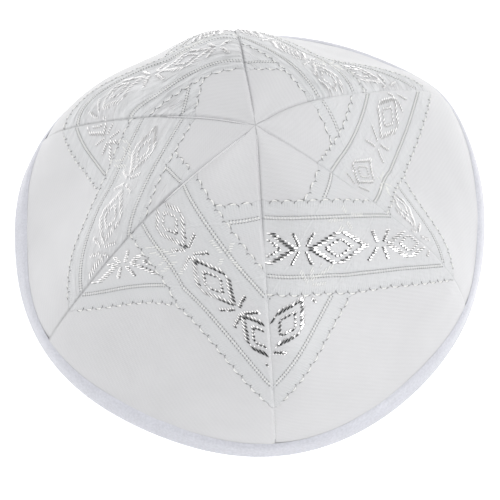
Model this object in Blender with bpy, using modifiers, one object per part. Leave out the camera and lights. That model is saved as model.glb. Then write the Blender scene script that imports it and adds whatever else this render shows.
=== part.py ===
"""Six-panel satin kippah skullcap with a bound rim, standing on its rim.

Metres, +Z up. The origin lies on the surface that the cap rests on, under the middle
of the cap. The front, the seam nearest the viewer, faces -Y.

Each panel is cut to the same pattern, so every seam has one length. What differs from
seam to seam is how steeply the cloth falls away from the crown, and the table LINES
gives that. The panels and the binding are all worked out from those lines.
"""
from collections import namedtuple

import bmesh
import bpy
import numpy as np

# Driving dimensions, in metres
SEAM_LENGTH = 0.110      # crown point to lower edge, down a seam
MIDDLE_LENGTH = 0.108    # crown point to lower edge, down the middle of a panel
CAP_HEIGHT = 0.071       # resting surface to crown point
CLOTH = 0.0012           # wall of a panel
BINDING_WIDTH = 0.0062   # binding that shows outside, up from the lower edge
BINDING_INSIDE = 0.0056  # binding turned up inside the cap
BINDING_CLOTH = 0.0010   # wall of the binding
GAP = 0.0003             # clearance between neighbouring pieces
RIDGE_WIDTH = 0.0022     # seam line to the top of the fold beside it
HOLLOW_WIDTH = 0.0050    # reach of the dip on the other side of a seam

# Shares and counts
HOLLOW_SHARE = 0.6       # depth of the dip, as a share of the fold's height
STATION_SHARES = (0.0, 0.25, 0.5, 0.75, 1.0)  # where LINES gives a slope
PANEL_COUNT = 6
COLUMNS = 12             # faces across a panel
ROWS = 18                # faces down a panel
STEPS = 40               # steps in which a line's slope is summed

# The seams and the panels' middle lines, clockwise from the front seam as seen from
# above. crown to rim are slopes in degrees below level at STATION_SHARES of the line.
# turn is how far the line stands off its even twelfth, and swing how much further its
# rim lies than its crown, in degrees, anticlockwise from above. ridge is the height, in
# cloth walls, by which the panel after a seam stands proud there, or before it if minus.
Line = namedtuple("Line", "name crown upper middle lower rim turn swing ridge")
LINES = (
    Line("front seam",        12, 33, 36, 58, 71, 4.5,   0.5,  0.6),
    Line("front left panel",  17, 30, 53, 54, 61, 2.0,   1.0,  0.0),
    Line("left front seam",   11, 27, 46, 54, 74, 4.0,  -4.0,  1.0),
    Line("left panel",        21, 33, 50, 52, 45, 5.5,  -4.5,  0.0),
    Line("left back seam",    19, 35, 42, 48, 80, 6.0,   2.0,  0.9),
    Line("back left panel",   10, 28, 50, 57, 91, 6.0,  -5.0,  0.0),
    Line("back seam",        -10, 32, 48, 62, 67, 7.0,  -2.5, -0.7),
    Line("back right panel",   5, 33, 52, 48, 62, 4.5, -17.5,  0.0),
    Line("right back seam",    2, 35, 38, 46, 80, 6.5,  -5.5,  0.4),
    Line("right panel",        8, 43, 47, 47, 69, 1.5,   4.5,  0.0),
    Line("right front seam",  14, 33, 40, 59, 77, 7.0,  -1.0,  0.4),
    Line("front right panel",  8, 36, 50, 54, 63, 6.5,   3.5,  0.0),
)
FRONT_TURN = -90.0       # degrees from +X at which the front seam faces

# Node names, clockwise from the front seam
PANEL_NAMES = (
    "panel_front_left", "panel_left", "panel_back_left",
    "panel_back_right", "panel_right", "panel_front_right",
)

# Worked out from the sizes above
LINE_TURN = 360.0 / len(LINES)
RIM_LIFT = BINDING_CLOTH + GAP           # height of the panels' pattern edge
CROWN_START = 3 * GAP / MIDDLE_LENGTH    # share at which the panels' tips are cut
PANEL_END = 1 - (BINDING_CLOTH + GAP) / MIDDLE_LENGTH
RIDGE_END = 1 - 2 * BINDING_WIDTH / MIDDLE_LENGTH
OUTER_FACE = GAP + BINDING_CLOTH         # binding's outer face, off the panel's face
INNER_FACE = -(CLOTH + OUTER_FACE)       # binding's inner face, off the panel's face
SLOT_OUTER = GAP
SLOT_INNER = -(CLOTH + GAP)


def sum_of_steps(rates, lengths):
    """Running sum of rates along each line, starting at nought."""
    step = np.asarray(lengths)[:, None] / STEPS
    middles = (rates[:, 1:] + rates[:, :-1]) / 2
    return np.hstack([np.zeros((len(rates), 1)), np.cumsum(middles * step, axis=1)])


def line_profiles():
    """Radius and height of every line at STEPS + 1 even shares of its length."""
    shares = np.linspace(0.0, 1.0, STEPS + 1)
    degree = len(STATION_SHARES) - 1
    slopes = []
    for line in LINES:
        stations = (line.crown, line.upper, line.middle, line.lower, line.rim)
        slopes.append(np.polyval(np.polyfit(STATION_SHARES, stations, degree), shares))
    slopes = np.radians(slopes)
    lengths = [MIDDLE_LENGTH if i % 2 else SEAM_LENGTH for i in range(len(LINES))]
    radius = sum_of_steps(np.cos(slopes), lengths)
    fall = sum_of_steps(np.sin(slopes), lengths)
    height = CAP_HEIGHT - (CAP_HEIGHT - RIM_LIFT) * fall / fall[:, -1:]
    return shares, radius, height


SHARES, RADIUS, HEIGHT = line_profiles()


def closed_wave(values, places):
    """The smoothest closed wave through one value a line, read at places round the cap."""
    count = len(LINES)
    terms = np.fft.rfft(values) / count
    order = np.arange(len(terms))
    weight = np.where((order == 0) | (order == count // 2), 1.0, 2.0)
    waves = np.exp(2j * np.pi * np.outer(places, order) / count)
    return (waves * weight * terms).sum(axis=1).real


def pattern_points(places, share):
    """Points of the panels' outer face, at places counted in lines from the front seam."""
    places = np.asarray(places, dtype=float)
    radius = closed_wave([np.interp(share, SHARES, r) for r in RADIUS], places)
    height = closed_wave([np.interp(share, SHARES, h) for h in HEIGHT], places)
    turn = closed_wave([l.turn + l.swing * (share - 0.5) for l in LINES], places)
    angle = np.radians(FRONT_TURN - LINE_TURN * places + turn)
    return np.stack([radius * np.cos(angle), radius * np.sin(angle), height], axis=1)


def face_normals(places, share):
    """Directions straight out of the outer face."""
    places = np.asarray(places, dtype=float)
    small = 0.01
    across = pattern_points(places + small, share) - pattern_points(places - small, share)
    down = pattern_points(places, min(share + small, 1)) - pattern_points(places, share - small)
    out = np.cross(across, down)
    return out / np.linalg.norm(out, axis=1, keepdims=True)


def panel_width(first_line, share):
    """Distance across a panel at a share of its length, by way of its middle."""
    left, middle, right = pattern_points([first_line, first_line + 1, first_line + 2], share)
    return np.linalg.norm(middle - left) + np.linalg.norm(right - middle)


def seam_relief(distance, ridge):
    """Height of the fold or dip at a distance from a seam, where ridge says which."""
    if ridge > 0:
        rise = distance / RIDGE_WIDTH
        return ridge * CLOTH * rise * np.exp(1 - rise)
    return HOLLOW_SHARE * ridge * CLOTH * np.exp(-distance / HOLLOW_WIDTH)


def panel_row(panel, share):
    """One row of a panel's outer face, clear of its neighbours by half a gap each side."""
    first = 2 * panel
    width = panel_width(first, share)
    edge = GAP / 2 / width
    spread = (1 - np.cos(np.pi * np.arange(COLUMNS + 1) / COLUMNS)) / 2
    across = edge + (1 - 2 * edge) * spread
    places = first + 2 * across
    after_seam = LINES[first].ridge
    before_seam = -LINES[(first + 2) % len(LINES)].ridge
    fade = np.sin(np.pi * min(share / RIDGE_END, 1.0)) ** 0.7
    relief = seam_relief(across * width, after_seam)
    relief = relief + seam_relief((1 - across) * width, before_seam)
    points = pattern_points(places, share)
    return points + face_normals(places, share) * (fade * relief)[:, None]


def panel_face(panel):
    """Rows of points over a panel's outer face, from the crown to inside the binding."""
    shares = np.linspace(CROWN_START, PANEL_END, ROWS + 1)
    return [panel_row(panel, share) for share in shares]


def binding_places():
    """The panels' own columns, all the way round, so that the binding fits the panels."""
    spread = (1 - np.cos(np.pi * np.arange(COLUMNS) / COLUMNS)) / 2
    return np.concatenate([2 * (panel + spread) for panel in range(PANEL_COUNT)])


def binding_rings():
    """Closed rings of the binding's section, in order round the section."""
    places = binding_places()

    def ring(up, off):
        share = 1 - up / MIDDLE_LENGTH
        return pattern_points(places, share) + face_normals(places, share) * off

    def on_the_ground(off):
        points = ring(0.0, off)
        points[:, 2] = 0.0
        return points

    outside = [ring(BINDING_WIDTH * k / 3, OUTER_FACE) for k in (3, 2, 1, 0)]
    under = [on_the_ground(SLOT_OUTER), on_the_ground(SLOT_INNER)]
    inside = [ring(BINDING_INSIDE * k / 3, INNER_FACE) for k in (0, 1, 2, 3)]
    slot_in = [ring(BINDING_INSIDE * k / 2, SLOT_INNER) for k in (2, 1)]
    slot_floor = [ring(BINDING_CLOTH, SLOT_INNER), ring(BINDING_CLOTH, SLOT_OUTER)]
    slot_out = [ring(BINDING_WIDTH * k / 2, SLOT_OUTER) for k in (1, 2)]
    rings = outside + under + inside + slot_in + slot_floor + slot_out
    for points in rings:
        points[:, 2] = np.maximum(points[:, 2], 0.0)
    return rings


def middle_of(points):
    """Offset that brings the middle of the points' box over the origin."""
    middle = (points.min(axis=0) + points.max(axis=0)) / 2
    return np.array([middle[0], middle[1], 0.0])


def satin_material(name, colour, roughness):
    """Plain satin, for a solid whose finish is made elsewhere."""
    material = bpy.data.materials.new(name)
    material.use_nodes = True
    shader = material.node_tree.nodes["Principled BSDF"]
    shader.inputs["Base Color"].default_value = (*colour, 1.0)
    shader.inputs["Roughness"].default_value = roughness
    shader.inputs["Metallic"].default_value = 0.0
    shader.inputs["Sheen Weight"].default_value = 0.2
    return material


def add_object(name, mesh_builder, material, collection):
    """A named object from a bmesh, in the cap's collection."""
    mesh = bpy.data.meshes.new(name)
    mesh_builder.normal_update()
    mesh_builder.to_mesh(mesh)
    mesh_builder.free()
    mesh.materials.append(material)
    piece = bpy.data.objects.new(name, mesh)
    collection.objects.link(piece)
    mesh.shade_smooth()
    mesh.set_sharp_from_angle(angle=np.radians(40))
    return piece


def loft(builder, rows, closed_rows, closed_rings):
    """Faces between rows of points, closed along a row or from last row to first."""
    grid = [[builder.verts.new(p) for p in row] for row in rows]
    row_pairs = list(zip(grid, grid[1:]))
    if closed_rings:
        row_pairs.append((grid[-1], grid[0]))
    for upper, lower in row_pairs:
        count = len(upper) if closed_rows else len(upper) - 1
        for i in range(count):
            j = (i + 1) % len(upper)
            builder.faces.new((upper[i], upper[j], lower[j], lower[i]))


def make_panel(panel, offset, material, collection):
    """A panel: its outer face lofted from the crown down, and a wall inside that."""
    builder = bmesh.new()
    loft(builder, [row - offset for row in panel_face(panel)], False, False)
    bmesh.ops.recalc_face_normals(builder, faces=builder.faces)
    middle_face = builder.faces[:][len(builder.faces) // 2]
    if middle_face.normal.z < 0:
        bmesh.ops.reverse_faces(builder, faces=builder.faces)
    piece = add_object(PANEL_NAMES[panel], builder, material, collection)
    wall = piece.modifiers.new("Wall", 'SOLIDIFY')
    wall.thickness = CLOTH
    wall.offset = -1.0
    return piece


def make_binding(offset, material, collection):
    """The binding: a slotted section lofted round the rim, over both faces of the panels."""
    builder = bmesh.new()
    loft(builder, [ring - offset for ring in binding_rings()], True, True)
    bmesh.ops.recalc_face_normals(builder, faces=builder.faces)
    return add_object("rim_binding", builder, material, collection)


def make_kippah():
    """The whole cap, centred over the origin."""
    collection = bpy.data.collections.new("kippah_skullcap")
    bpy.context.scene.collection.children.link(collection)
    satin = satin_material("panel_satin", (0.74, 0.74, 0.76), 0.45)
    tape = satin_material("binding_satin", (0.70, 0.70, 0.76), 0.5)
    faces = [row for panel in range(PANEL_COUNT) for row in panel_face(panel)]
    offset = middle_of(np.vstack(faces + binding_rings()))
    for panel in range(PANEL_COUNT):
        make_panel(panel, offset, satin, collection)
    make_binding(offset, tape, collection)


def clear_objects():
    """An empty scene to build in."""
    for thing in list(bpy.data.objects):
        bpy.data.objects.remove(thing, do_unlink=True)


clear_objects()
make_kippah()
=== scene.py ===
"""White satin kippah skullcap: six panels with woven silver bands, and a bound rim.

Metres, +Z up, and the cap stands on its rim with the front seam facing -Y. The panels'
outer face is worked out from the same lines as the solids. Every panel is cut to one
flat pattern, and the bands are straight on that pattern, so threads and weave are laid
out there, in millimetres, and then put on the curved cloth.
"""
import math
from collections import namedtuple

import bmesh
import bpy
import numpy as np
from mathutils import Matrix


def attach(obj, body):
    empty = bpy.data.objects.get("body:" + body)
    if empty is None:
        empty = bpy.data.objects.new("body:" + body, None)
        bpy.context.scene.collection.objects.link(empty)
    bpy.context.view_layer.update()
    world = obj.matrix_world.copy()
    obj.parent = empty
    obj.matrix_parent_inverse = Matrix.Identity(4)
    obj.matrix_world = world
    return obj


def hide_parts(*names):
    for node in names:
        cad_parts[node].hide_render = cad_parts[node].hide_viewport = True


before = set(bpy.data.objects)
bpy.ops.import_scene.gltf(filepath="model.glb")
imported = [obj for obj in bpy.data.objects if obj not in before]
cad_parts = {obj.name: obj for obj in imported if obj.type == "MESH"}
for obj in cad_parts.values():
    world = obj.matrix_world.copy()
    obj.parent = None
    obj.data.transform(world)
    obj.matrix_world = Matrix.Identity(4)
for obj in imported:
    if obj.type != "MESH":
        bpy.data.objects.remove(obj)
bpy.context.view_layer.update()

bl_info = {
    "name": "Kippah Skullcap",
    "version": (1, 0, 0),
    "blender": (4, 5, 0),
    "location": "3D View > Sidebar > Kippah",
    "description": "Six satin panels with woven silver bands, a bound rim and a studio",
    "category": "Add Mesh",
}

# The seams and the panels' middle lines, clockwise from the front seam as seen from
# above. crown to rim are slopes in degrees below level at STATION_SHARES of the line.
# turn is how far the line stands off its even twelfth, and swing how much further its
# rim lies than its crown, in degrees, anticlockwise from above. ridge says how far the
# panel after a seam stands proud there, or the one before it if minus: 1 is the highest.
Line = namedtuple("Line", "name crown upper middle lower rim turn swing ridge")
LINES = (
    Line("front seam",        12, 33, 36, 58, 71, 4.5,   0.5,  0.6),
    Line("front left panel",  17, 30, 53, 54, 61, 2.0,   1.0,  0.0),
    Line("left front seam",   11, 27, 46, 54, 74, 4.0,  -4.0,  1.0),
    Line("left panel",        21, 33, 50, 52, 45, 5.5,  -4.5,  0.0),
    Line("left back seam",    19, 35, 42, 48, 80, 6.0,   2.0,  0.9),
    Line("back left panel",   10, 28, 50, 57, 91, 6.0,  -5.0,  0.0),
    Line("back seam",        -10, 32, 48, 62, 67, 7.0,  -2.5, -0.7),
    Line("back right panel",   5, 33, 52, 48, 62, 4.5, -17.5,  0.0),
    Line("right back seam",    2, 35, 38, 46, 80, 6.5,  -5.5,  0.4),
    Line("right panel",        8, 43, 47, 47, 69, 1.5,   4.5,  0.0),
    Line("right front seam",  14, 33, 40, 59, 77, 7.0,  -1.0,  0.4),
    Line("front right panel",  8, 36, 50, 54, 63, 6.5,   3.5,  0.0),
)
STATION_SHARES = (0.0, 0.25, 0.5, 0.75, 1.0)
FRONT_TURN = -90.0         # degrees from +X at which the front seam faces
LINE_TURN = 360.0 / len(LINES)
STEPS = 240                # steps in which a line's slope is summed
CROWN = (0.00156, 0.00095) # where the crown stands, off the middle of the cap's box
RIM_LIFT = 0.0013          # height of the panels' pattern edge, inside the binding

# The sewn seams. Shares are of the cloth's wall or of the seam depth.
HIGH_RIDGE = 0.65          # a ridge above this turns into a dip outside the hexagon
RIDGE_SHARE = 0.32         # height of the standing edge
HOLLOW_SHARE = 0.4         # depth of the dip on its other side
VALLEY_SHARE = 0.35        # depth of the wide valley along a seam
VALLEY_REACH = 0.0035      # how far from a seam the valley reaches
SEAM_GAP = 0.00004         # half the open line between two panels
TAPE_COVER = 0.0013        # how far above the pattern edge the panels end, in the tape

# How far bands of threads are laid out along their band, in millimetres: more than a
# panel is wide, because threads off the panel are left out.
BAND_START, BAND_END = -112.0, 12.0

# Each panel: its node, how much nearer the crown the stretched cloth carries the bands on
# the side of its first and last seam, how crinkled its bands are from 0 to 1, and where
# diamonds and crosses stand along the upper and the lower band. In millimetres of the
# flat pattern.
Panel = namedtuple("Panel", "node first_pull last_pull crinkle "
                   "diamonds crosses under_diamonds under_crosses")
PANELS = (
    Panel("panel_front_left", 3.2, 2.8, 0.0, (-9.6, -30.5, -51.0), (-19.9, -41.5, -61.5),
          (-35.0, -57.5), (-13.0, -24.0, -46.5)),
    Panel("panel_left", -0.3, 0.0, 0.4, (-14.6, -37.3, -59.0), (-25.5, -48.3),
          (-34.0, -56.0), (-23.0, -45.0)),
    Panel("panel_back_left", -9.6, -1.2, 1.0, (-19.5, -41.5, -63.0), (-9.0, -30.5, -53.5),
          (-41.0, -63.0), (-30.0, -52.0)),
    Panel("panel_back_right", 0.0, 1.2, 0.8, (-8.0, -30.0, -52.0), (-19.0, -41.0),
          (-41.0, -63.0), (-30.0, -52.0)),
    Panel("panel_right", 1.4, 1.9, 0.15, (-14.5, -42.0), (-3.5, -30.0, -52.0),
          (-41.0, -63.0), (-30.0, -52.0)),
    Panel("panel_front_right", 0.9, 0.9, 0.05, (-3.2, -24.8, -48.8), (-13.9, -37.7, -59.5),
          (-24.0, -46.3), (-12.5, -34.5, -57.0)),
)
# Small folds of the cloth: panel, place on the flat pattern and length in millimetres,
# way it runs in degrees from square to the panel's middle, width and height. The high
# one is the peak that stands beside the back seam.
Fold = namedtuple("Fold", "panel x y length way width height")
FOLDS = (
    Fold(5, -29.5, 79.5, 11.0, 118.0, 1.1, 0.35),
    Fold(0, 1.0, 88.0, 30.0, 112.0, 3.5, 0.35),
    Fold(0, -12.0, 90.0, 22.0, 100.0, 4.0, 0.30),
    Fold(0, 9.0, 92.0, 22.0, 125.0, 4.0, 0.25),
    Fold(1, 4.0, 80.0, 34.0, 95.0, 6.0, 0.35),
    Fold(2, 16.0, 38.0, 26.0, 60.0, 7.0, 1.3),
    Fold(3, -6.0, 82.0, 30.0, 80.0, 6.0, 0.35),
    Fold(4, 3.0, 84.0, 32.0, 96.0, 6.0, 0.35),
    Fold(5, 6.0, 84.0, 30.0, 88.0, 6.0, 0.30),
)
TOP, UNDER = 1, -1         # the band from the first seam's tip lies on the other one


def linear(hex_colour):
    """Linear RGB from an sRGB hex value."""
    parts = [int(hex_colour[i:i + 2], 16) / 255 for i in (1, 3, 5)]
    return tuple(c / 12.92 if c <= 0.04045 else ((c + 0.055) / 1.055) ** 2.4 for c in parts)


# The cap's surface and its flat pattern

def running_sum(rates, lengths):
    """Running sum of rates along each line, starting at nought."""
    step = np.asarray(lengths)[:, None] / STEPS
    middles = (rates[:, 1:] + rates[:, :-1]) / 2
    return np.hstack([np.zeros((len(rates), 1)), np.cumsum(middles * step, axis=1)])


def closed_wave(values, places):
    """The smoothest closed wave through one value a line, read at one place each."""
    count = len(LINES)
    terms = np.fft.rfft(values, axis=0) / count
    order = np.arange(len(terms))
    weight = np.where((order == 0) | (order == count // 2), 1.0, 2.0)
    waves = np.exp(2j * np.pi * np.outer(order, places) / count)
    return (waves * weight[:, None] * terms).sum(axis=0).real


def smooth(value, low, high):
    """0 below low and 1 above high, with a soft rise between."""
    t = np.clip((value - low) / (high - low), 0, 1)
    return t * t * (3 - 2 * t)


class CapSurface:
    """The cap's outer face, and the flat pattern that its panels are cut to."""

    def __init__(self, sizes):
        self.sizes = sizes
        self.shares = np.linspace(0.0, 1.0, STEPS + 1)
        degree = len(STATION_SHARES) - 1
        slopes = [np.polyval(np.polyfit(STATION_SHARES, line[1:6], degree), self.shares)
                  for line in LINES]
        slopes = np.radians(slopes)
        lengths = [sizes.middle_length if i % 2 else sizes.seam_length
                   for i in range(len(LINES))]
        self.radius = running_sum(np.cos(slopes), lengths)
        fall = running_sum(np.sin(slopes), lengths)
        drop = (sizes.cap_height - RIM_LIFT) * fall / fall[:, -1:]
        self.height = sizes.cap_height - drop
        self.turn = np.array([line.turn for line in LINES])[:, None]
        self.swing = np.array([line.swing for line in LINES])[:, None]
        self.cut_pattern()

    def cut_pattern(self):
        """Edge and middle line of the flat pattern, in millimetres. A panel is as wide as
        its share of the cap's girth, and its middle line is drawn up a little."""
        rows = self.shares[::6]
        half = []
        for share in rows:
            places = np.linspace(0, len(LINES), 97)
            ring = self.points(places, np.full(97, share))
            half.append(np.linalg.norm(np.diff(ring, axis=0), axis=1).sum() / len(LINES))
        half = np.array(half) * 1000
        step = self.sizes.seam_length * 1000 / (len(rows) - 1)
        down = np.sqrt(np.maximum(step ** 2 - np.diff(half) ** 2, 0))
        self.rows = rows
        self.edge_x = half
        self.edge_y = np.concatenate([[0], np.cumsum(down)])
        middle = self.sizes.middle_length * 1000 * rows
        self.middle_y = middle * (1 - 0.04 * np.minimum(1, (middle / 60) ** 1.5))

    def points(self, places, shares):
        """Points of the smooth outer face, at places counted in lines from the front."""
        radius = closed_wave([np.interp(shares, self.shares, r) for r in self.radius], places)
        height = closed_wave([np.interp(shares, self.shares, h) for h in self.height], places)
        turn = closed_wave(self.turn + self.swing * (shares - 0.5), places)
        angle = np.radians(FRONT_TURN - LINE_TURN * places + turn)
        return np.stack([radius * np.cos(angle) + CROWN[0],
                         radius * np.sin(angle) + CROWN[1], height], axis=1)

    def normals(self, places, shares):
        """Directions straight out of the smooth face."""
        small = 0.01
        inner = np.maximum(shares, small)
        across = self.points(places + small, inner) - self.points(places - small, inner)
        down = (self.points(places, np.minimum(shares + small, 1))
                - self.points(places, np.maximum(shares - small, 0)))
        out = np.cross(across, down)
        return out / np.linalg.norm(out, axis=1, keepdims=True)

    def relief(self, panel, across, shares):
        """How far the sewn cloth stands off the smooth face, in metres."""
        sizes = self.sizes
        width = 2 * np.interp(shares, self.rows, self.edge_x) / 1000
        after = LINES[2 * panel].ridge
        before = -LINES[(2 * panel + 2) % len(LINES)].ridge
        start = smooth(shares, 0.01, 0.08)
        outside = smooth(shares, 0.26, 0.36)
        rim = 1 - 0.85 * smooth(shares, 0.82, 0.95)
        total = np.zeros_like(shares)
        for distance, ridge in ((across * width, after), ((1 - across) * width, before)):
            # Outside the hexagon a high ridge turns into a dip. A low one stays, and its
            # seam is all but flat.
            high = abs(ridge) > HIGH_RIDGE
            fade = start * (1 - (1.6 if high else 0.3) * outside)
            if ridge > 0:
                rise = distance / sizes.seam_roll
                shape = RIDGE_SHARE * ridge * sizes.cloth * rise * np.exp(1 - rise)
            else:
                shape = (HOLLOW_SHARE * ridge * sizes.cloth
                         * np.exp(-distance / (3 * sizes.seam_roll)))
            groove = sizes.seam_depth * np.exp(-(distance / sizes.seam_round) ** 2)
            if not high:
                groove *= 1 - 0.8 * outside
            valley = VALLEY_SHARE * sizes.seam_depth * np.exp(-distance / VALLEY_REACH)
            total += fade * shape - (groove + valley) * rim * smooth(shares, 0.0, 0.05)
        x, y = self.flat(panel, across, shares)
        soft = np.zeros_like(shares)
        for along, down, phase in ((0.31, 0.17, 0.4), (-0.12, 0.38, 2.1), (0.22, -0.29, 4.4)):
            soft += np.sin(along * x + down * y + phase + 1.7 * panel)
        total += sizes.waviness * soft * smooth(shares, 0.1, 0.4) * smooth(1 - shares, 0.05, 0.2)
        for fold in FOLDS:
            if fold.panel == panel:
                way = math.radians(fold.way)
                ahead = (x - fold.x) * math.cos(way) + (y - fold.y) * math.sin(way)
                aside = (y - fold.y) * math.cos(way) - (x - fold.x) * math.sin(way)
                total += fold.height / 1000 * np.exp(-(aside / fold.width) ** 2
                                                     - (2 * ahead / fold.length) ** 2)
        return total

    def raised(self, panel, across, shares, lift):
        """Points at a lift above the sewn cloth, in metres."""
        places = 2 * panel + 2 * across
        off = self.relief(panel, across, shares) + lift
        return self.points(places, shares) + self.normals(places, shares) * off[:, None]

    def pull(self, panel, side, shares):
        """How much nearer the crown the bands lie than on an even cut."""
        part = PANELS[panel]
        pull = np.where(side < 0, part.first_pull, part.last_pull)
        return pull * 4 * np.abs(side) * (1 - np.abs(side)) * smooth(shares, 0.35, 0.6)

    def flat(self, panel, across, shares):
        """Flat pattern place, in millimetres: x from the middle line, y from the crown."""
        side = 2 * across - 1
        middle = np.interp(shares, self.rows, self.middle_y)
        edge = np.interp(shares, self.rows, self.edge_y)
        y = middle + (edge - middle) * side ** 2 + self.pull(panel, side, shares)
        return side * np.interp(shares, self.rows, self.edge_x), y

    def find(self, panel, x, y):
        """Place across and share of the length for points of the flat pattern."""
        low, high = np.zeros_like(x), np.ones_like(x)
        for _ in range(24):
            share = (low + high) / 2
            side = np.clip(x / np.maximum(np.interp(share, self.rows, self.edge_x), 0.01), -1, 1)
            found = self.flat(panel, (side + 1) / 2, share)[1]
            low, high = np.where(found < y, share, low), np.where(found < y, high, share)
        return (side + 1) / 2, share

    def inside(self, panel, x, y, margin):
        """Whether flat places lie on the panel, at least a margin from its seams."""
        share = self.find(panel, x, y)[1]
        return np.abs(x) < np.interp(share, self.rows, self.edge_x) - margin


def band_to_flat(side, along, over, tilt):
    """Flat pattern place of a place on a band, all in millimetres."""
    turn = math.radians(tilt)
    x = along * math.cos(turn) + over * math.sin(turn)
    return side * x, over * math.cos(turn) - along * math.sin(turn)


def flat_to_band(side, x, y, tilt):
    """Place along and across a band of a flat pattern place, all in millimetres."""
    turn = math.radians(tilt)
    return (side * x * math.cos(turn) - y * math.sin(turn),
            side * x * math.sin(turn) + y * math.cos(turn))


# What a user can change

class KippahSizes(bpy.types.PropertyGroup):
    """Sizes of the cap and its cloth."""
    cap_height: bpy.props.FloatProperty(
        name="Cap height", description="Resting surface to the crown point",
        default=0.071, min=0.04, max=0.12, unit='LENGTH')
    seam_length: bpy.props.FloatProperty(
        name="Seam length", description="Crown point to lower edge, down a seam",
        default=0.110, min=0.06, max=0.16, unit='LENGTH')
    middle_length: bpy.props.FloatProperty(
        name="Panel length", description="Crown point to lower edge, down a panel's middle",
        default=0.108, min=0.06, max=0.16, unit='LENGTH')
    cloth: bpy.props.FloatProperty(
        name="Cloth", description="Wall of a lined panel",
        default=0.0012, min=0.0004, max=0.004, unit='LENGTH')
    seam_depth: bpy.props.FloatProperty(
        name="Seam depth", description="How deep the cloth turns in at a seam",
        default=0.00045, min=0.0, max=0.002, unit='LENGTH')
    seam_round: bpy.props.FloatProperty(
        name="Seam roundness", description="How far from a seam the cloth starts to turn in",
        default=0.00045, min=0.0001, max=0.003, unit='LENGTH')
    seam_roll: bpy.props.FloatProperty(
        name="Seam roll", description="How far from a seam the standing edge is highest",
        default=0.0010, min=0.0003, max=0.004, unit='LENGTH')
    waviness: bpy.props.FloatProperty(
        name="Waviness", description="Height of the soft waves in the cloth",
        default=0.00005, min=0.0, max=0.001, unit='LENGTH')
    binding_width: bpy.props.FloatProperty(
        name="Binding", description="Binding that shows outside, up from the rim",
        default=0.0062, min=0.003, max=0.02, unit='LENGTH')
    binding_inside: bpy.props.FloatProperty(
        name="Binding inside", description="Binding turned up inside the cap",
        default=0.0056, min=0.003, max=0.02, unit='LENGTH')


class BandSizes(bpy.types.PropertyGroup):
    """Layout of the woven bands on the flat pattern, in millimetres."""
    tilt: bpy.props.FloatProperty(
        name="Tilt", description="Turn of a band from square to the panel's middle, degrees",
        default=31.9, min=0.0, max=60.0)
    inner_edge: bpy.props.FloatProperty(
        name="Inner edge", description="Crown to the band's inner scallops, mm",
        default=21.8, min=5.0, max=60.0)
    outer_edge: bpy.props.FloatProperty(
        name="Outer edge", description="Crown to the band's outer scallops, mm",
        default=48.8, min=20.0, max=100.0)
    scallop: bpy.props.FloatProperty(
        name="Scallop", description="Length of one scallop of the edge, mm",
        default=3.6, min=1.0, max=10.0)
    scallop_depth: bpy.props.FloatProperty(
        name="Scallop depth", description="Depth of a scallop, mm",
        default=0.6, min=0.1, max=5.0)
    inner_row: bpy.props.FloatProperty(
        name="Inner row", description="Inner edge to the inner stitched row, mm",
        default=4.7, min=1.0, max=12.0)
    outer_row: bpy.props.FloatProperty(
        name="Outer row", description="Outer edge to the outer stitched row, mm",
        default=5.4, min=1.0, max=12.0)
    motif_height: bpy.props.FloatProperty(
        name="Motif height", description="Height of the woven diamonds and crosses, mm",
        default=9.6, min=3.0, max=20.0)
    float_length: bpy.props.FloatProperty(
        name="Float length", description="Length of one silver thread on the face, mm",
        default=2.7, min=0.3, max=5.0)
    float_width: bpy.props.FloatProperty(
        name="Float width", description="Width of one silver thread, mm",
        default=0.34, min=0.1, max=1.0)
    float_pitch: bpy.props.FloatProperty(
        name="Float pitch", description="One silver thread to the next, mm",
        default=0.66, min=0.2, max=2.0)
    row_gap: bpy.props.FloatProperty(
        name="Row gap", description="Between the two lines of a stitched row, mm",
        default=0.9, min=0.2, max=4.0)
    stitch_pitch: bpy.props.FloatProperty(
        name="Stitch pitch", description="One stitch of a row to the next, mm",
        default=0.86, min=0.2, max=3.0)


class KippahColours(bpy.types.PropertyGroup):
    """Colours of the cloths and threads."""
    satin: bpy.props.FloatVectorProperty(
        name="Satin", description="White satin of the panels", subtype='COLOR',
        default=linear("#d2d2d4"))
    band: bpy.props.FloatVectorProperty(
        name="Band", description="Ground of the woven bands", subtype='COLOR',
        default=linear("#d1d2d4"))
    binding: bpy.props.FloatVectorProperty(
        name="Binding", description="Satin tape round the rim", subtype='COLOR',
        default=linear("#cfd0d8"))
    silver: bpy.props.FloatVectorProperty(
        name="Silver thread", description="Metal film of the woven motifs", subtype='COLOR',
        default=linear("#f9f8f8"))
    grey: bpy.props.FloatVectorProperty(
        name="Edge thread", description="Thread of the scallops", subtype='COLOR',
        default=linear("#8b8c8d"))
    dark: bpy.props.FloatVectorProperty(
        name="Row thread", description="Thread of the stitched rows", subtype='COLOR',
        default=linear("#7a7b7c"))
    white: bpy.props.FloatVectorProperty(
        name="White thread", description="Floats that show through, and beads", subtype='COLOR',
        default=linear("#f6f6f4"))
    # Painted shadow: a grey thread laid in the gaps beside the silver floats stands in for the
    # shade between them.
    painted_shadow: bpy.props.FloatVectorProperty(
        name="Sunk thread", description="Ground threads between the floats", subtype='COLOR',
        default=linear("#989a9b"))


# Materials

def add_node(tree, kind, settings=None, inputs=None):
    """A node with its settings, and its inputs set to values or linked to sockets."""
    made = tree.nodes.new(kind)
    for name, value in (settings or {}).items():
        setattr(made, name, value)
    for name, value in (inputs or {}).items():
        if isinstance(value, bpy.types.NodeSocket):
            tree.links.new(value, made.inputs[name])
        else:
            made.inputs[name].default_value = value
    return made


def new_material(name):
    """A named material with its own node tree and Principled shader."""
    material = bpy.data.materials.new(name)
    material.use_nodes = True
    return material, material.node_tree, material.node_tree.nodes["Principled BSDF"]


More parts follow.
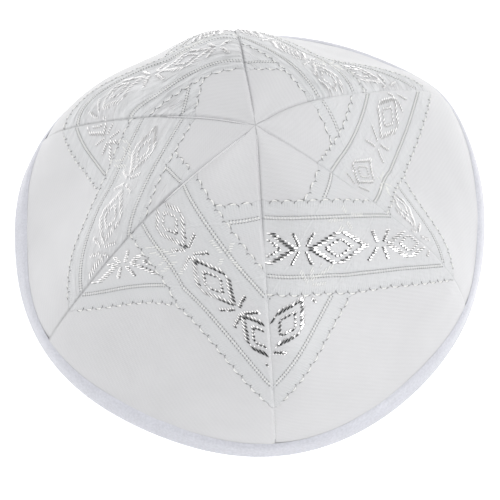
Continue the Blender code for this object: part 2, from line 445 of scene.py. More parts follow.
def band_nodes(tree, layer, bands):
    """Sockets that say where one band lies: its area, its motif zone, the ribs of its
    edges, and the relief of its double rows. 1 in the UV map is 100 mm."""
    uv = add_node(tree, 'ShaderNodeUVMap', {"uv_map": layer})
    place = add_node(tree, 'ShaderNodeSeparateXYZ', inputs={0: uv.outputs[0]})
    along, over = place.outputs[0], place.outputs[1]
    middle = (bands.inner_edge + bands.outer_edge) / 200
    half = (bands.outer_edge - bands.inner_edge) / 200
    offset = add_node(tree, 'ShaderNodeMath', {"operation": 'SUBTRACT'}, {0: over, 1: middle})
    off = add_node(tree, 'ShaderNodeMath', {"operation": 'ABSOLUTE'}, {0: offset.outputs[0]})

    # Scallops: the edge bows out between its points.
    phase = add_node(tree, 'ShaderNodeMath', {"operation": 'MULTIPLY'},
                     {0: along, 1: 100 * math.pi / bands.scallop})
    wave = add_node(tree, 'ShaderNodeMath', {"operation": 'SINE'}, {0: phase.outputs[0]})
    arch = add_node(tree, 'ShaderNodeMath', {"operation": 'ABSOLUTE'}, {0: wave.outputs[0]})
    depth = bands.scallop_depth / 100
    reach = add_node(tree, 'ShaderNodeMath', {"operation": 'MULTIPLY_ADD'},
                     {0: arch.outputs[0], 1: -depth, 2: off.outputs[0]})
    area = add_node(tree, 'ShaderNodeMapRange', {"interpolation_type": 'SMOOTHSTEP'},
                    {"Value": reach.outputs[0], "From Min": half - depth / 2 - 0.0018,
                     "From Max": half - depth / 2 + 0.0018, "To Min": 1.0, "To Max": 0.0})
    zone = add_node(tree, 'ShaderNodeMapRange', {"interpolation_type": 'SMOOTHSTEP'},
                    {"Value": off.outputs[0], "From Min": bands.motif_height / 200 - 0.004,
                     "From Max": bands.motif_height / 200 + 0.010, "To Min": 1.0,
                     "To Max": 0.0})

    # Ribs along the edges, like the close stitches of a buttonhole, 0.72 mm apart.
    ribs = add_node(tree, 'ShaderNodeMath', {"operation": 'MULTIPLY'},
                    {0: along, 1: 2 * math.pi * 100 / 0.72})
    rib = add_node(tree, 'ShaderNodeMath', {"operation": 'SINE'}, {0: ribs.outputs[0]})
    edge = add_node(tree, 'ShaderNodeMapRange', {"interpolation_type": 'SMOOTHSTEP'},
                    {"Value": off.outputs[0], "From Min": half - 0.022,
                     "From Max": half - 0.012, "To Min": 0.25, "To Max": 1.0})
    ribbed = add_node(tree, 'ShaderNodeMath', {"operation": 'MULTIPLY'},
                      {0: rib.outputs[0], 1: edge.outputs[0]})

    # Double rows: the cloth stands up between the two lines and dips under them.
    row = (bands.outer_edge - bands.outer_row - bands.inner_edge - bands.inner_row) / 200
    shift = (bands.outer_row - bands.inner_row) / 200
    moved = add_node(tree, 'ShaderNodeMath', {"operation": 'ADD'},
                     {0: offset.outputs[0], 1: shift})
    apart = add_node(tree, 'ShaderNodeMath', {"operation": 'ABSOLUTE'}, {0: moved.outputs[0]})
    beside = add_node(tree, 'ShaderNodeMath', {"operation": 'SUBTRACT'},
                      {0: apart.outputs[0], 1: row})
    from_row = add_node(tree, 'ShaderNodeMath', {"operation": 'ABSOLUTE'},
                        {0: beside.outputs[0]})
    gap = bands.row_gap / 200
    rib_top = add_node(tree, 'ShaderNodeMapRange', {"interpolation_type": 'SMOOTHSTEP'},
                       {"Value": from_row.outputs[0], "From Min": 0.0, "From Max": gap,
                        "To Min": 1.0, "To Max": -0.6})
    dip = add_node(tree, 'ShaderNodeMapRange', {"interpolation_type": 'SMOOTHSTEP'},
                   {"Value": from_row.outputs[0], "From Min": gap, "From Max": gap * 2.6,
                    "To Min": 0.0, "To Max": 0.6})
    rows = add_node(tree, 'ShaderNodeMath', {"operation": 'ADD'},
                    {0: rib_top.outputs[0], 1: dip.outputs[0]})
    return area.outputs[0], zone.outputs[0], ribbed.outputs[0], rows.outputs[0]


def crinkle_ridges(tree, area):
    """Socket that says how far the crinkled cloth stands up or down within an area: ridges
    along the bands, about 10 mm long and 2 mm apart."""
    crinkled = add_node(tree, 'ShaderNodeAttribute', {"attribute_name": "crinkle"})
    lengthways = add_node(tree, 'ShaderNodeUVMap', {"uv_map": "top_band"})
    stretched = add_node(tree, 'ShaderNodeVectorMath', {"operation": 'MULTIPLY'},
                         {0: lengthways.outputs[0], 1: (10.0, 62.0, 1.0)})
    ridges = add_node(tree, 'ShaderNodeTexNoise', inputs={
        "Vector": stretched.outputs[0], "Scale": 1.0, "Detail": 2.0, "Distortion": 0.6})
    ridge = add_node(tree, 'ShaderNodeMath', {"operation": 'SUBTRACT'},
                     {0: ridges.outputs["Fac"], 1: 0.5})
    where = add_node(tree, 'ShaderNodeMath', {"operation": 'MULTIPLY'},
                     {0: crinkled.outputs["Fac"], 1: area})
    ridge = add_node(tree, 'ShaderNodeMath', {"operation": 'MULTIPLY'},
                     {0: ridge.outputs[0], 1: where.outputs[0]})
    return ridge.outputs[0]


def seam_shadow(tree):
    """Socket of painted shade along the seams: it darkens the cloth's colour where it turns
    down into the stitches, within 0.2 mm of a plain seam and within 1 mm of a high one."""
    edges = add_node(tree, 'ShaderNodeUVMap', {"uv_map": "seams"})
    sides = add_node(tree, 'ShaderNodeSeparateXYZ', inputs={0: edges.outputs[0]})
    nearer = add_node(tree, 'ShaderNodeMath', {"operation": 'MINIMUM'},
                      {0: sides.outputs[0], 1: sides.outputs[1]})
    painted_shadow = add_node(tree, 'ShaderNodeMapRange', {"interpolation_type": 'SMOOTHSTEP'},
                    {"Value": nearer.outputs[0], "From Min": 0.0, "From Max": 0.0055,
                     "To Min": 0.74, "To Max": 1.0})
    return painted_shadow.outputs[0]


def panel_material(colours, bands):
    """Duchesse satin, polyester, woven with brocade bands: smooth with a soft gloss.

    The satin's floats lie too close to see one by one, and give a low, even sheen with
    fine grain. The bands' ground is a tighter rib and a little greyer, and a band that
    passes under the other one shows through it faintly. Where the bands' metal shrinks
    them, the cloth crinkles. Painted light and shade follow the weave, ribs, rows and
    crinkles, brighter where they rise and darker where they dip, and painted shade
    darkens the cloth where it turns down into a seam.
    """
    material, tree, shader = new_material("duchesse_satin_woven")
    top, top_zone, top_ribs, top_rows = band_nodes(tree, "top_band", bands)
    under, under_zone, under_ribs, under_rows = band_nodes(tree, "under_band", bands)
    bare = add_node(tree, 'ShaderNodeMath', {"operation": 'SUBTRACT', "use_clamp": True},
                    {0: 1.0, 1: top})
    shown = add_node(tree, 'ShaderNodeMath', {"operation": 'MULTIPLY'},
                     {0: under, 1: bare.outputs[0]}).outputs[0]
    hidden = add_node(tree, 'ShaderNodeMath', {"operation": 'MULTIPLY'},
                      {0: under, 1: top}).outputs[0]

    # The ground is greyest outside the motifs' zone, and a hidden band shows a little.
    ground = 0.0
    for area, zone in ((top, top_zone), (shown, under_zone)):
        plain = add_node(tree, 'ShaderNodeMath', {"operation": 'MULTIPLY_ADD'},
                         {0: zone, 1: -0.65, 2: 1.0})
        ground = add_node(tree, 'ShaderNodeMath', {"operation": 'MULTIPLY_ADD'},
                          {0: area, 1: plain.outputs[0], 2: ground}).outputs[0]
    greyed = add_node(tree, 'ShaderNodeMath', {"operation": 'MULTIPLY_ADD', "use_clamp": True},
                      {0: hidden, 1: 0.22, 2: ground})
    base = add_node(tree, 'ShaderNodeMix', {"data_type": 'RGBA'}, {
        "Factor": greyed.outputs[0], 6: (*colours.satin, 1), 7: (*colours.band, 1)})

    pattern = add_node(tree, 'ShaderNodeUVMap', {"uv_map": "pattern"})
    clouds = add_node(tree, 'ShaderNodeTexNoise', inputs={
        "Vector": pattern.outputs[0], "Scale": 9.0, "Detail": 3.0})
    tone = add_node(tree, 'ShaderNodeMapRange', inputs={
        "Value": clouds.outputs["Fac"], "From Min": 0.3, "From Max": 0.7,
        "To Min": 0.92, "To Max": 0.955})
    # Weft and twill of the satin: real threads are near 0.1 mm, and these are drawn at
    # 0.6 and 0.9 mm to show.
    weft = add_node(tree, 'ShaderNodeTexWave', {"bands_direction": 'Y'}, {
        "Vector": pattern.outputs[0], "Scale": 2 * math.pi * 100 / 0.6 / 20,
        "Distortion": 0.8, "Detail": 1.0, "Detail Scale": 1.5})
    twill = add_node(tree, 'ShaderNodeTexWave', {"bands_direction": 'DIAGONAL'}, {
        "Vector": pattern.outputs[0], "Scale": 2 * math.pi * 100 / 0.9 / 20,
        "Distortion": 0.5, "Detail": 1.0, "Detail Scale": 2.0})
    crease = add_node(tree, 'ShaderNodeTexNoise', inputs={
        "Vector": pattern.outputs[0], "Scale": 60.0, "Detail": 2.0})
    creased = add_node(tree, 'ShaderNodeMath', {"operation": 'MULTIPLY'},
                       {0: crease.outputs["Fac"], 1: top})
    either = add_node(tree, 'ShaderNodeMath', {"operation": 'MAXIMUM'}, {0: top, 1: under})

    # Each relief of the cloth, its height in millimetres, and how much brighter its colour is
    # painted where it rises and darker where it dips: painted light and shade.
    reliefs = [(weft.outputs["Fac"], 0.020, 0.025), (creased.outputs[0], 0.28, 0.0),
               (twill.outputs["Fac"], 0.018, 0.02),
               (crinkle_ridges(tree, either.outputs[0]), 1.6, 0.75),
               (top, 0.16, 0.0), (shown, 0.16, 0.0), (hidden, 0.06, 0.0)]
    for area, relief, high, painted_light in (
        (top, top_ribs, 0.025, 0.035), (shown, under_ribs, 0.025, 0.035),
        (top, top_rows, 0.09, 0.06), (shown, under_rows, 0.09, 0.06),
        (hidden, under_rows, 0.05, 0.035),
    ):
        part = add_node(tree, 'ShaderNodeMath', {"operation": 'MULTIPLY'},
                        {0: area, 1: relief})
        reliefs.append((part.outputs[0], high, painted_light))
    height, shade = 0.0, tone.outputs[0]
    for relief, high, painted_light in reliefs:
        height = add_node(tree, 'ShaderNodeMath', {"operation": 'MULTIPLY_ADD'},
                          {0: relief, 1: high, 2: height}).outputs[0]
        if painted_light:
            shade = add_node(tree, 'ShaderNodeMath', {"operation": 'MULTIPLY_ADD'},
                             {0: relief, 1: painted_light, 2: shade}).outputs[0]
    # Painted shade darkens the colour along the seams.
    shade = add_node(tree, 'ShaderNodeMath', {"operation": 'MULTIPLY'},
                     {0: shade, 1: seam_shadow(tree)})
    shaded = add_node(tree, 'ShaderNodeVectorMath', {"operation": 'SCALE'},
                      {0: base.outputs[2], "Scale": shade.outputs[0]})
    tree.links.new(shaded.outputs[0], shader.inputs["Base Color"])
    bump = add_node(tree, 'ShaderNodeBump', inputs={
        "Strength": 1.0, "Distance": 0.001, "Height": height})
    tree.links.new(bump.outputs[0], shader.inputs["Normal"])
    shader.inputs["Roughness"].default_value = 0.40
    shader.inputs["Specular IOR Level"].default_value = 0.5
    shader.inputs["IOR"].default_value = 1.5
    shader.inputs["Sheen Weight"].default_value = 0.12
    shader.inputs["Sheen Roughness"].default_value = 0.4
    return material


def binding_material(colours):
    """Bias satin tape, polyester, folded: a cooler white with a pearly, mottled gloss."""
    material, tree, shader = new_material("bias_satin_tape_folded")
    pattern = add_node(tree, 'ShaderNodeUVMap', {"uv_map": "pattern"})
    clouds = add_node(tree, 'ShaderNodeTexNoise', inputs={
        "Vector": pattern.outputs[0], "Scale": 22.0, "Detail": 4.0})
    ramp = add_node(tree, 'ShaderNodeMapRange', inputs={
        "Value": clouds.outputs["Fac"], "From Min": 0.3, "From Max": 0.7,
        "To Min": 0.93, "To Max": 1.0})
    fine = add_node(tree, 'ShaderNodeTexNoise', inputs={
        "Vector": pattern.outputs[0], "Scale": 130.0, "Detail": 3.0})
    speckle = add_node(tree, 'ShaderNodeMapRange', inputs={
        "Value": fine.outputs["Fac"], "From Min": 0.35, "From Max": 0.65,
        "To Min": 0.94, "To Max": 1.06})
    mottle = add_node(tree, 'ShaderNodeMath', {"operation": 'MULTIPLY'},
                      {0: ramp.outputs[0], 1: speckle.outputs[0]})
    base = add_node(tree, 'ShaderNodeVectorMath', {"operation": 'SCALE'},
                    {0: colours.binding, "Scale": mottle.outputs[0]})
    tree.links.new(base.outputs[0], shader.inputs["Base Color"])
    bump = add_node(tree, 'ShaderNodeBump', inputs={
        "Strength": 1.0, "Distance": 0.00008, "Height": fine.outputs["Fac"]})
    tree.links.new(bump.outputs[0], shader.inputs["Normal"])
    shader.inputs["Roughness"].default_value = 0.36
    shader.inputs["Specular IOR Level"].default_value = 0.5
    shader.inputs["Sheen Weight"].default_value = 0.15
    return material


def silver_material(colours):
    """Lame thread, aluminium film on polyester, slit and woven: mirror-bright, so it
    shows white where it faces the studio's walls and black where it faces the opening."""
    material, tree, shader = new_material("silver_lame_film_woven")
    place = add_node(tree, 'ShaderNodeTexCoord')
    flecks = add_node(tree, 'ShaderNodeTexNoise', inputs={
        "Vector": place.outputs["Object"], "Scale": 900.0, "Detail": 2.0})
    ramp = add_node(tree, 'ShaderNodeMapRange', inputs={
        "Value": flecks.outputs["Fac"], "From Min": 0.35, "From Max": 0.65,
        "To Min": 0.06, "To Max": 0.2})
    tree.links.new(ramp.outputs[0], shader.inputs["Roughness"])
    shader.inputs["Base Color"].default_value = (*colours.silver, 1)
    shader.inputs["Metallic"].default_value = 1.0
    return material


def thread_material(name, colour):
    """Rayon thread, twisted: a soft gloss that breaks up along the strand."""
    material, tree, shader = new_material(name)
    place = add_node(tree, 'ShaderNodeTexCoord')
    strands = add_node(tree, 'ShaderNodeTexNoise', inputs={
        "Vector": place.outputs["Object"], "Scale": 1500.0, "Detail": 2.0})
    ramp = add_node(tree, 'ShaderNodeMapRange', inputs={
        "Value": strands.outputs["Fac"], "To Min": 0.8, "To Max": 1.0})
    base = add_node(tree, 'ShaderNodeVectorMath', {"operation": 'SCALE'},
                    {0: colour, "Scale": ramp.outputs[0]})
    tree.links.new(base.outputs[0], shader.inputs["Base Color"])
    shader.inputs["Roughness"].default_value = 0.35
    return material


def studio_world():
    """White studio walls and ceiling, dimmer behind the cap, with a dark opening low in
    front of it that the silver mirrors."""
    world = bpy.data.worlds.new("studio walls")
    world.use_nodes = True
    tree = world.node_tree
    way = add_node(tree, 'ShaderNodeTexCoord')
    opening = add_node(tree, 'ShaderNodeVectorMath', {"operation": 'DOT_PRODUCT'},
                       {0: way.outputs["Generated"], 1: (0.235, -0.875, 0.423)})
    unlit = add_node(tree, 'ShaderNodeMapRange', {"interpolation_type": 'SMOOTHSTEP'}, {
        "Value": opening.outputs["Value"], "From Min": 0.77, "From Max": 0.85,
        "To Min": 1.0, "To Max": 0.02})
    high = add_node(tree, 'ShaderNodeSeparateXYZ', inputs={0: way.outputs["Generated"]})
    lit = add_node(tree, 'ShaderNodeMapRange', {"interpolation_type": 'SMOOTHSTEP'}, {
        "Value": high.outputs[2], "From Min": 0.3, "From Max": 0.7,
        "To Min": 0.90, "To Max": 1.05})
    far = add_node(tree, 'ShaderNodeMapRange', inputs={
        "Value": high.outputs[1], "From Min": 0.3, "From Max": 0.9,
        "To Min": 1.0, "To Max": 0.70})
    lit = add_node(tree, 'ShaderNodeMath', {"operation": 'MULTIPLY'},
                   {0: lit.outputs[0], 1: far.outputs[0]})
    wall = add_node(tree, 'ShaderNodeMath', {"operation": 'MULTIPLY'},
                    {0: unlit.outputs[0], 1: lit.outputs[0]})
    back = tree.nodes["Background"]
    tree.links.new(wall.outputs[0], back.inputs["Color"])
    back.inputs["Strength"].default_value = 0.92
    return world


# Shared modelling steps

def fresh_object(name):
    """The object just added, named with its mesh. It stands at the frame's origin."""
    made = bpy.context.active_object
    made.name = made.data.name = name
    return made


def clear_selection():
    """Leave nothing selected, the solids that were loaded among them."""
    if bpy.context.object and bpy.context.object.mode != 'OBJECT':
        bpy.ops.object.mode_set(mode='OBJECT')
    bpy.ops.object.select_all(action='DESELECT')


def vertex_array(mesh):
    """Vertex places of a mesh, as an array."""
    found = np.zeros(len(mesh.vertices) * 3)
    mesh.vertices.foreach_get("co", found)
    return found.reshape(-1, 3)


def move_vertices(mesh, places):
    """Put every vertex of a mesh at a new place."""
    mesh.vertices.foreach_set("co", np.asarray(places, dtype=float).ravel())
    mesh.update()


def add_uv_layer(mesh, name, places):
    """A UV map from one flat place a vertex, where 1 is 100 mm."""
    layer = mesh.uv_layers.new(name=name)
    corners = np.zeros(len(mesh.loops), dtype=int)
    mesh.loops.foreach_get("vertex_index", corners)
    layer.data.foreach_set("uv", (np.asarray(places)[corners] / 100).ravel())


def finish_piece(piece, material, nodes=()):
    """Give a finished piece its material and its place in the frame."""
    piece.data.materials.clear()
    piece.data.materials.append(material)
    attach(piece, "root")
    if nodes:
        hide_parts(*nodes)


def apply_modifiers(piece):
    """Apply a piece's modifiers in order."""
    bpy.context.view_layer.objects.active = piece
    for modifier in list(piece.modifiers):
        bpy.ops.object.modifier_apply(modifier=modifier.name)


# The panels

def make_panel(surface, bands, panel, material):
    """A cloth panel: a grid shaped on the cap's face, with its wall turned inwards."""
    columns, rows = 96, 120
    clear_selection()
    bpy.ops.mesh.primitive_grid_add(x_subdivisions=columns, y_subdivisions=rows, size=2)
    piece = fresh_object("cloth_" + PANELS[panel].node)
    mesh = piece.data
    while mesh.uv_layers:
        mesh.uv_layers.remove(mesh.uv_layers[0])
    grid = vertex_array(mesh)
    # The columns stand closer towards the seams, where the cloth turns down.
    even = (1 - grid[:, 0]) / 2
    across = 0.2 * even + 0.8 * (1 - np.cos(np.pi * even)) / 2
    shares = (1 - grid[:, 1]) / 2 * (1 - TAPE_COVER / surface.sizes.middle_length)
    width = 2 * np.interp(shares, surface.rows, surface.edge_x) / 1000
    gap = np.minimum(SEAM_GAP / np.maximum(width, 1e-6), 0.2)
    across = gap + (1 - 2 * gap) * across
    x, y = surface.flat(panel, across, shares)
    add_uv_layer(mesh, "pattern", np.stack([x, y], 1))
    # How far each seam's shadow reaches. Outside the hexagon it is wider beside a high
    # ridge or a dip, and a low seam has all but none.
    outside = smooth(shares, 0.22, 0.30)
    soft = [0.35 + outside * (1.4 if line.ridge > 0.8 or line.ridge < 0 else -0.3)
            for line in (LINES[2 * panel], LINES[(2 * panel + 2) % len(LINES)])]
    add_uv_layer(mesh, "seams", 1000 * np.stack(
        [across * width / soft[0], (1 - across) * width / soft[1]], 1))
    for name, side in (("top_band", TOP), ("under_band", UNDER)):
        add_uv_layer(mesh, name, np.stack(flat_to_band(side, x, y, bands.tilt), 1))
    crinkle = mesh.attributes.new("crinkle", 'FLOAT', 'POINT')
    crinkle.data.foreach_set("value", np.full(len(x), PANELS[panel].crinkle))
    move_vertices(mesh, surface.raised(panel, across, shares, np.zeros_like(shares)))
    bpy.ops.object.mode_set(mode='EDIT')
    bpy.ops.mesh.select_all(action='SELECT')
    bpy.ops.mesh.remove_doubles(threshold=0.00001)
    bpy.ops.object.mode_set(mode='OBJECT')
    wall = piece.modifiers.new("Wall", 'SOLIDIFY')
    wall.thickness = surface.sizes.cloth
    wall.offset = -1.0
    apply_modifiers(piece)
    bpy.ops.object.shade_smooth_by_angle(angle=math.radians(50))
    finish_piece(piece, material, [PANELS[panel].node])
    flat_size = (2 * surface.edge_x[-1] / 1000, surface.edge_y[-1] / 1000)
    strips = (surface.edge_x[1:] + surface.edge_x[:-1]) * np.diff(surface.edge_y)
    return piece, flat_size, strips.sum() / 1e6


# Threads

def ordered_faces(mesh):
    """Faces of a mesh in a set order, each from its lowest corner, because Blender gives a
    new sphere's faces in another order each run."""
    faces = [tuple(face.vertices) for face in mesh.polygons]
    return sorted(face[face.index(min(face)):] + face[:face.index(min(face))]
                  for face in faces)


def strand_shape(rings, sides):
    """One strand, modelled once: a thin bar from x = 0 to 1, as stout all along as in its
    middle but for its rounded ends."""
    clear_selection()
    bpy.ops.mesh.primitive_uv_sphere_add(
        segments=sides, ring_count=rings, radius=1, rotation=(0, math.radians(90), 0))
    bpy.ops.object.transform_apply(location=True, rotation=True, scale=True)
    made = bpy.context.active_object
    points = vertex_array(made.data)
    turn = np.arccos(np.clip(-points[:, 0], -1, 1)) / np.pi
    reach = np.linalg.norm(points[:, 1:], axis=1)
    stout = np.minimum(1.0, 1.9 * np.sin(np.pi * turn)) / np.maximum(reach, 1e-6)
    stout[reach < 1e-6] = 0.0
    points = np.stack([turn, points[:, 1] * stout, points[:, 2] * stout], 1)
    faces = ordered_faces(made.data)
    bpy.data.objects.remove(made)
    return points, faces


def ribbon_shape(steps):
    """One slit film float, modelled once: a thin flat strip that bows up from the cloth
    between its ends, from x = 0 to 1."""
    clear_selection()
    bpy.ops.mesh.primitive_grid_add(x_subdivisions=steps, y_subdivisions=1, size=2)
    made = bpy.context.active_object
    wall = made.modifiers.new("Wall", 'SOLIDIFY')
    wall.thickness = 0.5
    wall.offset = 0.0
    apply_modifiers(made)
    points = vertex_array(made.data)
    run = (points[:, 0] + 1) / 2
    narrow = np.where((run < 0.02) | (run > 0.98), 0.55, 1.0)
    bow = 4 * run * (1 - run) - 0.3
    points = np.stack([run, points[:, 1] * narrow, points[:, 2] + bow], 1)
    faces = ordered_faces(made.data)
    bpy.data.objects.remove(made)
    return points, faces


def lay_strands(surface, panel, side, tilt, shape, strands, lift):
    """Strands laid on the cloth. Each is start along, start over, end along, end over,
    bulge, width and rise, in millimetres of its band, and its roll in degrees."""
    strands = np.asarray(strands, dtype=float).reshape(-1, 8)
    points, faces = shape
    t = points[:, 0][None, :]
    a0, o0, a1, o1, bulge, width, rise, roll = (strands[:, i:i + 1] for i in range(8))
    run = np.hypot(a1 - a0, o1 - o0)

    def centre(t):
        bow = bulge * 4 * t * (1 - t)
        along = a0 + (a1 - a0) * t - (o1 - o0) / run * bow
        over = o0 + (o1 - o0) * t + (a1 - a0) / run * bow
        x, y = band_to_flat(side, along, over, tilt)
        across, shares = surface.find(panel, x.ravel(), y.ravel())
        return across, shares

    across, shares = centre(t)
    middle = surface.raised(panel, across, shares, np.full_like(shares, lift))
    ahead = surface.raised(panel, *centre(t + 0.02), np.full_like(shares, lift))
    behind = surface.raised(panel, *centre(t - 0.02), np.full_like(shares, lift))
    out = surface.normals(2 * panel + 2 * across, shares)
    forward = ahead - behind
    forward /= np.linalg.norm(forward, axis=1, keepdims=True)
    aside = np.cross(out, forward)
    y = points[:, 1][None, :] * width / 2000
    z = points[:, 2][None, :] * rise / 2000
    roll = np.radians(roll)
    flat = (y * np.cos(roll) - z * np.sin(roll)).ravel()[:, None]
    high = (y * np.sin(roll) + z * np.cos(roll)).ravel()[:, None]
    laid = middle + aside * flat + out * high
    count = len(points)
    joined = [tuple(i + n * count for i in face) for n in range(len(strands)) for face in faces]
    return laid, joined


def strands_piece(name, parts, material, rounded=True):
    """One piece from many laid strands, shaded round or as flat film."""
    places = np.vstack([p for p, _ in parts])
    faces, start = [], 0
    for points, part in parts:
        faces += [tuple(i + start for i in face) for face in part]
        start += len(points)
    mesh = bpy.data.meshes.new(name)
    mesh.from_pydata(places.tolist(), [], faces)
    mesh.update()
    piece = bpy.data.objects.new(name, mesh)
    bpy.context.scene.collection.objects.link(piece)
    builder = bmesh.new()
    builder.from_mesh(mesh)
    bmesh.ops.recalc_face_normals(builder, faces=builder.faces)
    builder.to_mesh(mesh)
    builder.free()
    if rounded:
        mesh.shade_smooth()
    finish_piece(piece, material)
    return piece


def on_cloth(surface, panel, side, bands, along, over, margin, hidden=False):
    """Which places of a band lie on the panel in sight, or hidden by the band on top. The
    hidden ones keep clear of the top band's own motifs."""
    edge_room, hidden_room, motif_room = 0.8, 2.0, 5.0
    along, over = np.asarray(along, dtype=float), np.asarray(over, dtype=float)
    x, y = band_to_flat(side, along, over, bands.tilt)
    keep = surface.inside(panel, x, y, margin)
    if side == UNDER:
        over_top = flat_to_band(TOP, x, y, bands.tilt)[1]
        if hidden:
            keep &= ((over_top > bands.inner_edge + hidden_room)
                     & (over_top < bands.outer_edge - hidden_room))
            keep &= np.abs(over_top - (bands.inner_edge + bands.outer_edge) / 2) > motif_room
        else:
            keep &= ((over_top > bands.outer_edge + edge_room)
                     | (over_top < bands.inner_edge - edge_room))
    return keep


def band_steps(pitch):
    """Whole steps of a pitch along a band, from its start to its end."""
    return np.arange(round(BAND_START / pitch), round(BAND_END / pitch))


def motif_strands(panel, side, bands, rng):
    """Silver floats of the diamonds and crosses on one band. Each lies along the band, and
    the arms of a motif are floats set off sideways one after another."""
    part = PANELS[panel]
    diamonds = part.diamonds if side == TOP else part.under_diamonds
    crosses = part.crosses if side == TOP else part.under_crosses
    middle = (bands.inner_edge + bands.outer_edge) / 2
    half = bands.motif_height / 2
    long, width, pitch = bands.float_length, bands.float_width, bands.float_pitch
    rows = np.arange(0.5 * pitch, half, pitch)
    rows = np.concatenate([-rows[::-1], rows])
    outer_reach, inner_reach, inner_height = 8.3, 4.0, 2.7
    cross_steps, cross_start, cross_lean = 6, 1.25, 0.34
    strands = []

    def float_at(along, over, length):
        length *= rng.uniform(0.88, 1.12)
        along += rng.uniform(-0.12, 0.12)
        strands.append((along - length / 2, over, along + length / 2,
                        over + rng.uniform(-0.03, 0.03), 0.0, width, 0.4, rng.normal(0, 5)))

    for centre in diamonds:
        for over in rows:
            reach = outer_reach * (1 - abs(over) / (half + 0.2))
            inner = inner_reach * (1 - abs(over) / inner_height)
            for way in (-1, 1):
                float_at(centre + way * reach, middle + over, long)
                if inner > 0.2:
                    float_at(centre + way * inner, middle + over, long * 0.6)
    for centre in crosses:
        for step in range(cross_steps):
            for way in (-1, 1):
                for up in (-1, 1):
                    float_at(centre + way * (cross_start + step * cross_lean),
                             middle + up * (1.0 + step * pitch), long * 0.52)
    return np.array(strands)


def visible(surface, panel, side, bands, strands, hidden=False):
    """Those strands whose middle lies on the panel and in sight, or only those hidden."""
    centre = (strands[:, 0:2] + strands[:, 2:4]) / 2
    return strands[on_cloth(surface, panel, side, bands, centre[:, 0], centre[:, 1],
                            1.0, hidden)]


def painted_shadow_strands(floats, bands):
    """Painted shadow: grey ground threads laid in the gap beside each silver float, standing in
    for the shade between the floats.
    """
    shorter, width, rise, roll = 0.25, 0.28, 0.1, 0.0
    painted_shadow = floats.copy()
    painted_shadow[:, [1, 3]] += bands.float_pitch / 2
    painted_shadow[:, 0] += shorter
    painted_shadow[:, 2] -= shorter
    painted_shadow[:, 5:] = width, rise, roll
    return painted_shadow


def row_strands(surface, panel, side, bands):
    """Small stitches of the two double rows of one band."""
    strands = []
    pitch = bands.stitch_pitch
    for row in (bands.inner_edge + bands.inner_row, bands.outer_edge - bands.outer_row):
        for over, start in ((row - bands.row_gap / 2, 0.0), (row + bands.row_gap / 2, 0.5)):
            along = (band_steps(pitch) + start) * pitch
            keep = on_cloth(surface, panel, side, bands, along, np.full_like(along, over), 0.7)
            for a in along[keep]:
                strands.append((a - 0.2, over - 0.08, a + 0.2, over + 0.08,
                                0.0, 0.32, 0.16, 0.0))
    return np.array(strands)


def hatch_strands(surface, panel, side, bands):
    """White slanting stitches between the two lines of each stitched row."""
    strands = []
    pitch = bands.stitch_pitch
    for row in (bands.inner_edge + bands.inner_row, bands.outer_edge - bands.outer_row):
        along = (band_steps(pitch) + 0.25) * pitch
        keep = on_cloth(surface, panel, side, bands, along, np.full_like(along, row), 0.7)
        for a in along[keep]:
            strands.append((a - 0.22, row - 0.5, a + 0.22, row + 0.5, 0.0, 0.3, 0.2, 0.0))
    return np.array(strands)


def scallop_places(surface, panel, side, bands):
    """Start along, base line and outward sign of each scallop of one band in sight."""
    pitch, depth = bands.scallop, bands.scallop_depth
    for edge, out in ((bands.inner_edge, -1), (bands.outer_edge, 1)):
        starts = band_steps(pitch) * pitch
        keep = on_cloth(surface, panel, side, bands, starts + pitch / 2,
                        np.full_like(starts, edge), pitch / 4)
        for start in starts[keep]:
            yield start, edge - out * depth / 2, out


def scallop_strands(surface, panel, side, bands):
    """Thread that outlines each scallop, with its turned-in hook."""
    pitch, depth = bands.scallop, bands.scallop_depth
    strands = []
    for start, base, out in scallop_places(surface, panel, side, bands):
        strands.append((start + 0.14 * pitch, base + out * 0.35, start + 0.92 * pitch,
                        base + out * 0.1, out * depth * 0.7, 0.26, 0.26, 0.0))
        strands.append((start + 0.91 * pitch, base + out * 0.25, start + 0.98 * pitch,
                        base - out * 0.55, out * 0.1, 0.24, 0.24, 0.0))
    return np.array(strands)


def bead_strands(surface, panel, side, bands):
    """White bead that fills each scallop beside its hook."""
    pitch = bands.scallop
    strands = []
    for start, base, out in scallop_places(surface, panel, side, bands):
        strands.append((start + 0.3 * pitch, base + out * 0.25, start + 0.84 * pitch,
                        base + out * 0.2, out * 0.3, 0.5, 0.4, 0.0))
    return np.array(strands)


# The binding

def binding_section(sizes):
    """Up and off, in metres, of the tape's outer face from its outer edge, which hugs the
    cloth, over the rim to its turned inner edge."""
    wide, inside = sizes.binding_width, sizes.binding_inside
    wall = sizes.cloth
    points = [(wide - 0.0006, 0.00001), (wide - 0.0001, 0.00001), (wide, 0.00005),
              (wide - 0.00003, 0.00010), (wide - 0.00015, 0.00017)]
    points += [(wide * k, 0.00014 + 0.0008 * math.sin(math.pi * min(1.3 * (1 - k), 0.5)))
               for k in (0.93, 0.85, 0.75, 0.64, 0.5, 0.36, 0.22, 0.1)]
    points += [(0.0002, 0.00075), (-0.0003, 0.0001), (-0.0004, -wall / 2),
               (-0.0003, -wall - 0.0001), (0.0002, -wall - 0.0007)]
    points += [(inside * k, -wall - 0.0009 - 0.0003 * math.sin(math.pi * k))
               for k in (0.1, 0.3, 0.5, 0.7, 0.9, 0.97)]
    points += [(inside + 0.0001, -wall - 0.0005), (inside - 0.0007, -wall - 0.0003)]
    return np.array(points)


